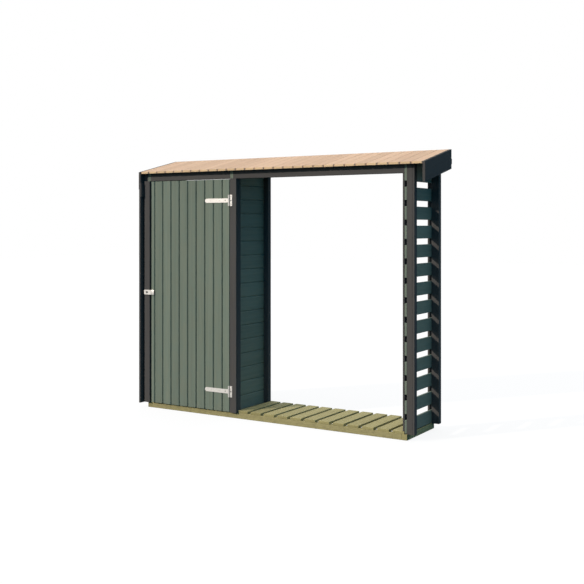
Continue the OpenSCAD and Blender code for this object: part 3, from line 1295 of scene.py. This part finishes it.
@dataclass
class Hinges(SubAssembly):
    """Two T-hinges: a plate with two knuckles on the strip, and a strap on the door."""

    screw: Screw = Screw()
    plate: float = 0.003
    tip_length: float = 0.012
    tip_height: float = 0.016
    bolt_hole: float = 0.0085
    bolt_place: float = 0.038
    strap_screws: tuple[float, ...] = (0.095, 0.182)
    plate_screws: float = 0.031
    easing: float = 0.0006
    knuckle_sides: int = 28
    pin_sides: int = 16

    def build(self) -> None:
        """Build both hinges from the joint's axis and the nodes' corners."""
        joint = frame["joints"][0]["pos_m"]
        axis = Vector((joint[0], joint[1], 0))
        head = self.screw.model()
        for level in ("upper", "lower"):
            self.build_strap(level, axis, head)
            self.build_plate(level, axis, head)
        bpy.data.objects.remove(head)

    def square_hole(self, centre: Vector) -> Piece:
        """Make the cutter of a square bolt hole through a plate."""
        return block(centre, Vector((self.bolt_hole / 2, 2 * self.plate, self.bolt_hole / 2)))

    def build_strap(self, level: str, axis: Vector, head: Piece) -> None:
        """Build the strap with its knuckle, bolt hole and screws.

        Args:
            level: Which hinge it is.
            axis: A point on the door's axis.
            head: A screw's head at the origin.
        """
        node = f"{level}_hinge_strap"
        low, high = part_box(node)
        middle = (low.z + high.z) / 2
        face = high.y - self.plate
        strap = squared(Vector((low.x, face, low.z)), Vector((axis.x, high.y, high.z)))
        drop = (high.z - low.z - self.tip_height) / 2
        for sign in (-1, 1):
            corner = Vector((low.x, face, middle + sign * self.tip_height / 2))
            saw(strap, corner, Vector((-drop, 0, sign * self.tip_length)))
        cut_away(strap, self.square_hole(Vector((axis.x - self.bolt_place, face, middle))))
        bevel_edges(strap, self.easing, chosen=on_face(Y, face))
        knuckle = barrel(Vector((axis.x, axis.y, middle)), axis.y - low.y, high.z - low.z,
                         self.knuckle_sides, self.easing)
        self.dresser.hand_over([strap, knuckle], f"{node}_iron", ZINC, Body.DOOR, [node],
                               round_shading=True)
        heads = [copied(head, Vector((axis.x - place, face, middle)))
                 for place in self.strap_screws]
        self.dresser.hand_over(heads, f"{level}_strap_screws", ZINC, Body.DOOR,
                               round_shading=True)

    def build_plate(self, level: str, axis: Vector, head: Piece) -> None:
        """Build the fixed plate with its two knuckles, the pin, a bolt hole and screws.

        Args:
            level: Which hinge it is.
            axis: A point on the door's axis.
            head: A screw's head at the origin.
        """
        node = f"{level}_hinge_plate"
        low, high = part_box(node)
        strap_low, strap_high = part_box(f"{level}_hinge_strap")
        middle = (low.z + high.z) / 2
        face = high.y - self.plate
        radius = axis.y - low.y
        gap = self.easing
        plate = squared(Vector((axis.x + radius / 2, face, low.z)), high)
        notch_right = axis.x + radius + 2 * gap
        cut_away(plate, squared(Vector((axis.x, low.y, strap_low.z - gap)),
                                Vector((notch_right, high.y + gap, strap_high.z + gap))))
        centre = Vector(((notch_right + high.x) / 2, face, middle))
        cut_away(plate, self.square_hole(centre))
        bevel_edges(plate, self.easing, chosen=on_face(Y, face))
        knuckles = [barrel(Vector((axis.x, axis.y, (bottom + top) / 2)), radius, top - bottom,
                           self.knuckle_sides, self.easing)
                    for bottom, top in ((low.z + gap, strap_low.z - gap),
                                        (strap_high.z + gap, high.z - gap))]
        pin = barrel(Vector((axis.x, axis.y, middle)), radius / 2, high.z - low.z,
                     self.pin_sides, self.easing / 2)
        self.dresser.hand_over([plate, *knuckles, pin], f"{node}_iron", ZINC, Body.STORE,
                               [node], round_shading=True)
        heads = [copied(head, centre + UP * rise)
                 for rise in (-self.plate_screws, self.plate_screws)]
        self.dresser.hand_over(heads, f"{level}_plate_screws", ZINC, Body.STORE,
                               round_shading=True)


@dataclass
class Latch(SubAssembly):
    """The hasp on the door, which laps a staple on the left strip."""

    leaf: float = 0.003
    leaf_corner: float = 0.006
    slot_size: tuple[float, float] = (0.023, 0.014)
    small_corner: float = 0.003
    cover_corner: float = 0.002
    easing: float = 0.0007
    barrel_sides: int = 24
    base_thickness: float = 0.0015
    base_opening: float = 0.0168
    lug_width: float = 0.010
    lug_thickness: float = 0.003
    lug_corner: float = 0.0036
    lug_hole: float = 0.0035
    lug_hole_sides: int = 20

    def build(self) -> None:
        """Build the staple and the hasp."""
        low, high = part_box("latch_staple")
        staple = (low + high) / 2
        staple.y = high.y
        self.build_staple(low, high, staple)
        self.build_hasp(staple)

    def build_staple(self, low: Vector, high: Vector, staple: Vector) -> None:
        """Build the base plate and the pierced lug that takes a padlock.

        Args:
            low: The node's lowest corner.
            high: The node's highest corner.
            staple: The middle of its back.
        """
        base = squared(Vector((low.x, high.y - self.base_thickness, low.z)), high)
        bevel_edges(base, self.small_corner, 3, along(INWARD))
        cut_away(base, block(staple, Vector((
            self.slot_size[0] / 2, self.leaf, self.base_opening / 2))))
        half = Vector((self.lug_width / 2, 0, self.lug_thickness / 2))
        lug = squared(Vector((staple.x, low.y, staple.z)) - half, staple + half)
        bevel_edges(lug, self.lug_corner, 3, both(on_face(Y, low.y), along(UP)))
        cut_away(lug, rod(Vector((staple.x, low.y + 2 * self.lug_hole, staple.z)),
                          self.lug_hole, 3 * self.lug_thickness, Z, self.lug_hole_sides))
        self.dresser.hand_over([base, lug], "latch_staple_iron", ZINC, Body.STORE,
                               ["latch_staple"], round_shading=True)

    def build_hasp(self, staple: Vector) -> None:
        """Build the slotted leaf, the pressed cover on the door and the barrel between them.

        Args:
            staple: The middle of the staple's back.
        """
        low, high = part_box("latch_hasp")
        door_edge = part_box("door_boards")[0].x
        leaf = squared(low, Vector((door_edge + self.leaf_corner, low.y + self.leaf, high.z)))
        bevel_edges(leaf, self.leaf_corner, 4, both(along(INWARD), on_face(X, low.x)))
        slot = block(Vector((staple.x, low.y, staple.z)),
                     Vector((self.slot_size[0] / 2, 2 * self.leaf, self.slot_size[1] / 2)))
        bevel_edges(slot, self.small_corner, 3, along(INWARD))
        cut_away(leaf, slot)
        bevel_edges(leaf, self.easing, chosen=on_face(Y, low.y))
        cover = squared(Vector((door_edge, low.y, low.z)), high)
        bevel_edges(cover, self.cover_corner, 2, unless(on_face(Y, high.y)))
        radius = (high.y - low.y) / 2 - self.easing
        centre = Vector((door_edge - radius, low.y + self.easing + radius,
                         (low.z + high.z) / 2))
        knuckle = barrel(centre, radius, high.z - low.z - 2 * self.easing,
                         self.barrel_sides, self.easing)
        self.dresser.hand_over([leaf, cover, knuckle], "latch_hasp_iron", ZINC, Body.DOOR,
                               ["latch_hasp"], round_shading=True)


# ---------------------------------------------------------------- fixings


@dataclass
class BoardNails(SubAssembly):
    """Small flat nail heads that hold boards to what carries them."""

    floors: Sequence[FloorBoards]
    cover: Roof
    radius: float = 0.0026
    proud: float = 0.0003
    depth: float = 0.002
    easing: float = 0.00024
    sides: int = 10
    inset: float = 0.018

    def build(self) -> None:
        """Nail down the roof boards and the floors."""
        self.nail_roof()
        for floor in self.floors:
            self.nail_floor(floor)

    def drive(self, places: Sequence[Vector], tilt: float, name: str) -> None:
        """Put a nail head at each place, and dress them as one piece.

        Args:
            places: Where the heads' undersides are.
            tilt: Angle by which the boards rise towards the back.
            name: The piece's name.
        """
        nail = rod(Vector((0, 0, self.proud - self.depth / 2)), self.radius, self.depth, Z,
                   self.sides)
        bevel_edges(nail, self.easing, chosen=on_face(Z, self.proud))
        nail.data.transform(Matrix.Rotation(tilt, 4, "X"))
        heads = [copied(nail, place) for place in places]
        bpy.data.objects.remove(nail)
        self.dresser.hand_over(heads, name, ZINC, Body.STORE)

    def nail_floor(self, floor: FloorBoards) -> None:
        """Put two nails through each floor board into each long bearer.

        Args:
            floor: The floor.
        """
        low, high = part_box(floor.node)
        bearer_low, bearer_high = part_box("front_bearer")
        half = (bearer_high.y - bearer_low.y) / 2
        places = [Vector((low.x + index * floor.pitch + across, place, high.z - self.proud))
                  for index in range(floor.count)
                  for across in (self.inset, floor.width - self.inset)
                  for place in (low.y + half, high.y - half)]
        self.drive(places, 0, f"{floor.node}_nails")

    def nail_roof(self) -> None:
        """Put two nails through each roof board into the header and the purlin."""
        low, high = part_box("roof_boards")
        places = []
        for node in ("log_bay_header", "roof_purlin"):
            node_low, node_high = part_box(node)
            middle = (node_low.y + node_high.y) / 2
            top = high.z - (high.y - middle) * math.tan(self.roof.slope) - self.proud
            places += [Vector((low.x + index * self.cover.pitch + across, middle, top))
                       for index in range(self.cover.boards)
                       for across in (self.inset, self.cover.pitch - self.inset)]
        self.drive(places, self.roof.slope, "roof_nails")


# ---------------------------------------------------------------- studio


@dataclass(frozen=True)
class SkyPatch:
    """A soft, brighter part of the sky: where it is, its colour and how it fades in."""

    towards: tuple[float, float, float]
    colour: Colour
    fade: Span


@dataclass
class Studio:
    """A pale floor, a low sun from the front left and a cool, weak sky."""

    sun_travel: tuple[float, float, float] = (0.76, 1.0, -0.60)
    sun_strength: float = 2.9
    sun_colour: Colour = (1.0, 0.90, 0.82)
    sun_angle: float = 1.2
    low_sky: Colour = (0.0, 0.225, 0.455)
    patches: tuple[SkyPatch, ...] = (
        SkyPatch((-0.70, -0.65, 0.30), (0.85, 0.78, 0.70), (0.45, 0.95)),
        SkyPatch((-0.34, 0.93, 0.15), (1.15, 1.25, 1.35), (0.45, 0.95)),
        SkyPatch((0.0, 0.0, 1.0), (1.6, 1.6, 1.6), (0.6, 0.95)))
    white: Colour = (1.0, 1.0, 1.0)
    chalk: Colour = (0.95, 0.95, 0.95)
    floor_bounce: Colour = (0.03, 0.058, 0.064)
    floor_reach: float = 60.0
    shadow_share: float = 0.12

    def build(self) -> None:
        """Build the floor, the sun and the sky."""
        self.build_floor()
        self.build_sun()
        self.build_sky()

    @staticmethod
    def seen_directly(desk: NodeDesk) -> Socket:
        """Give a mask of the rays that show the background as it is.

        Args:
            desk: The desk of the tree that needs the mask.

        Returns:
            One for camera rays, mirrored rays and rays through glass, and nought for others.
        """
        path = desk.add("ShaderNodeLightPath").outputs
        seen = desk.maths("MAXIMUM", path["Is Camera Ray"], path["Is Glossy Ray"])
        return desk.maths("MAXIMUM", seen, path["Is Transmission Ray"])

    def choose(self, desk: NodeDesk, others: Node, direct: Node, output: str) -> None:
        """Show one shader to the rays that see the background, and another to the rest.

        Args:
            desk: The desk of the tree.
            others: The shader for the rest.
            direct: The shader for the rays that see the background.
            output: The type of the tree's output node.
        """
        choice = desk.add("ShaderNodeMixShader", {
            0: self.seen_directly(desk), 1: others.outputs[0], 2: direct.outputs[0]})
        desk.add(output, {"Surface": choice.outputs[0]})

    def build_floor(self) -> None:
        """Lay a floor that looks white and keeps the store's shadow."""
        clear_selection()
        bpy.ops.mesh.primitive_plane_add(size=self.floor_reach)
        floor = bpy.context.object
        floor.name = "studio_floor"
        material = bpy.data.materials.new("studio_floor")
        material.use_nodes = True
        material.node_tree.nodes.clear()
        desk = NodeDesk(material.node_tree)
        glow = desk.add("ShaderNodeEmission", {"Color": self.white, "Strength": 1.0})
        chalk = desk.add("ShaderNodeBsdfDiffuse", {"Color": self.chalk})
        shown = desk.add("ShaderNodeMixShader", {
            0: self.shadow_share, 1: glow.outputs[0], 2: chalk.outputs[0]})
        bounce = desk.add("ShaderNodeBsdfDiffuse", {"Color": self.floor_bounce})
        self.choose(desk, bounce, shown, "ShaderNodeOutputMaterial")
        floor.data.materials.append(material)

    def build_sun(self) -> None:
        """Hang the sun."""
        light = bpy.data.lights.new("sun", "SUN")
        light.energy = self.sun_strength
        light.color = self.sun_colour
        light.angle = math.radians(self.sun_angle)
        lamp = bpy.data.objects.new("sun", light)
        bpy.context.scene.collection.objects.link(lamp)
        lamp.rotation_euler = Vector(self.sun_travel).to_track_quat("-Z", "Y").to_euler()

    def build_sky(self) -> None:
        """Fill the world with a weak sky that looks white to the camera."""
        world = bpy.data.worlds.new("sky")
        world.use_nodes = True
        world.node_tree.nodes.clear()
        desk = NodeDesk(world.node_tree)
        way = desk.add("ShaderNodeTexCoord").outputs["Generated"]
        sky = self.low_sky
        for patch in self.patches:
            nearness = desk.add("ShaderNodeVectorMath", {0: way, 1: patch.towards},
                                operation="DOT_PRODUCT").outputs["Value"]
            sky = desk.blend(desk.ramp(nearness, *patch.fade), sky, patch.colour)
        dim = desk.add("ShaderNodeBackground", {"Color": sky, "Strength": 1.0})
        white = desk.add("ShaderNodeBackground", {"Color": self.white, "Strength": 1.0})
        self.choose(desk, dim, white, "ShaderNodeOutputWorld")
        bpy.context.scene.world = world
        bpy.context.scene.view_settings.view_transform = "Standard"


@dataclass
class Viewpoint:
    """The camera, placed from the base's front right corner."""

    lens: float = 57.5
    sensor: float = 36.0
    yaw: float = 31.6
    shift_y: float = -0.1127
    right_of_corner: float = 2.792
    ahead_of_front: float = 6.109
    eye_height: float = 1.534

    def build(self) -> None:
        """Set up the camera, level and turned to the left."""
        low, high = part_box("right_bearer")
        data = bpy.data.cameras.new("viewpoint")
        data.lens = self.lens
        data.sensor_width = self.sensor
        data.shift_y = self.shift_y
        camera = bpy.data.objects.new("viewpoint", data)
        bpy.context.scene.collection.objects.link(camera)
        camera.location = (high.x + self.right_of_corner, low.y - self.ahead_of_front,
                           self.eye_height)
        camera.rotation_euler = (math.pi / 2, 0, math.radians(self.yaw))
        bpy.context.scene.camera = camera


BEARER_EASING = 0.0025
LONG_BEARERS = {"front_bearer": Top.SQUARE, "back_bearer": Top.SQUARE}
CROSS_BEARERS = {"left_bearer": Top.SQUARE, "partition_bearer": Top.SQUARE,
                 "right_bearer": Top.SQUARE}
UPRIGHTS = {
    "left_front_post": Top.SLOPED, "left_back_post": Top.SQUARE,
    "centre_front_post": Top.SQUARE, "centre_back_post": Top.SQUARE,
    "right_front_post": Top.SLOPED, "right_back_post": Top.SQUARE,
    "left_back_edge_board": Top.SQUARE, "right_front_edge_board": Top.SLOPED,
    "right_back_edge_board": Top.SQUARE, "left_weather_board": Top.SLOPED,
    "weather_board_cleat": Top.SQUARE, "left_cover_strip": Top.SQUARE,
    "centre_cover_strip": Top.SQUARE}
RAILS = {"cupboard_header": Top.SLOPED, "log_bay_header": Top.SLOPED,
         "back_rail": Top.SQUARE, "roof_purlin": Top.SLOPED}


def sub_assemblies() -> list[SubAssembly]:
    """List the store's sub-assemblies in the order in which they are built."""
    shop = Dresser(), RoofPlane.from_frame()
    floors = [FloorBoards(*shop, "cupboard_floor", 7), FloorBoards(*shop, "log_bay_floor", 12)]
    cover = Roof(*shop)
    return [
        SquaredTimbers(*shop, LONG_BEARERS, Grain.ALONG_X, TREATED_TIMBER, BEARER_EASING),
        SquaredTimbers(*shop, CROSS_BEARERS, Grain.ALONG_Y, TREATED_TIMBER, BEARER_EASING),
        SquaredTimbers(*shop, UPRIGHTS, Grain.ALONG_Z, GREY_PAINT),
        SquaredTimbers(*shop, RAILS, Grain.ALONG_X, GREY_PAINT),
        *floors,
        CladWall(*shop, "left_wall_cladding", Side.LEFT),
        CladWall(*shop, "partition_cladding", Side.RIGHT),
        CladWall(*shop, "cupboard_back_cladding", Side.BACK),
        WallBattens(*shop, "left_wall_battens", GREEN_PAINT, Top.SLOPED),
        WallBattens(*shop, "partition_battens", GREEN_PAINT, Top.SLOPED),
        WallBattens(*shop, "slatted_wall_battens", GREY_PAINT, Top.SQUARE),
        SlattedWall(*shop), cover, Door(*shop), Hinges(*shop), Latch(*shop),
        BoardNails(*shop, floors, cover)]


def main() -> None:
    """Build the view, the studio and the store, in order."""
    logging.basicConfig(level=logging.INFO, format="%(name)s: %(message)s")
    Viewpoint().build()
    Studio().build()
    for sub_assembly in sub_assemblies():
        sub_assembly.build()


if __name__ == "__main__":
    main()
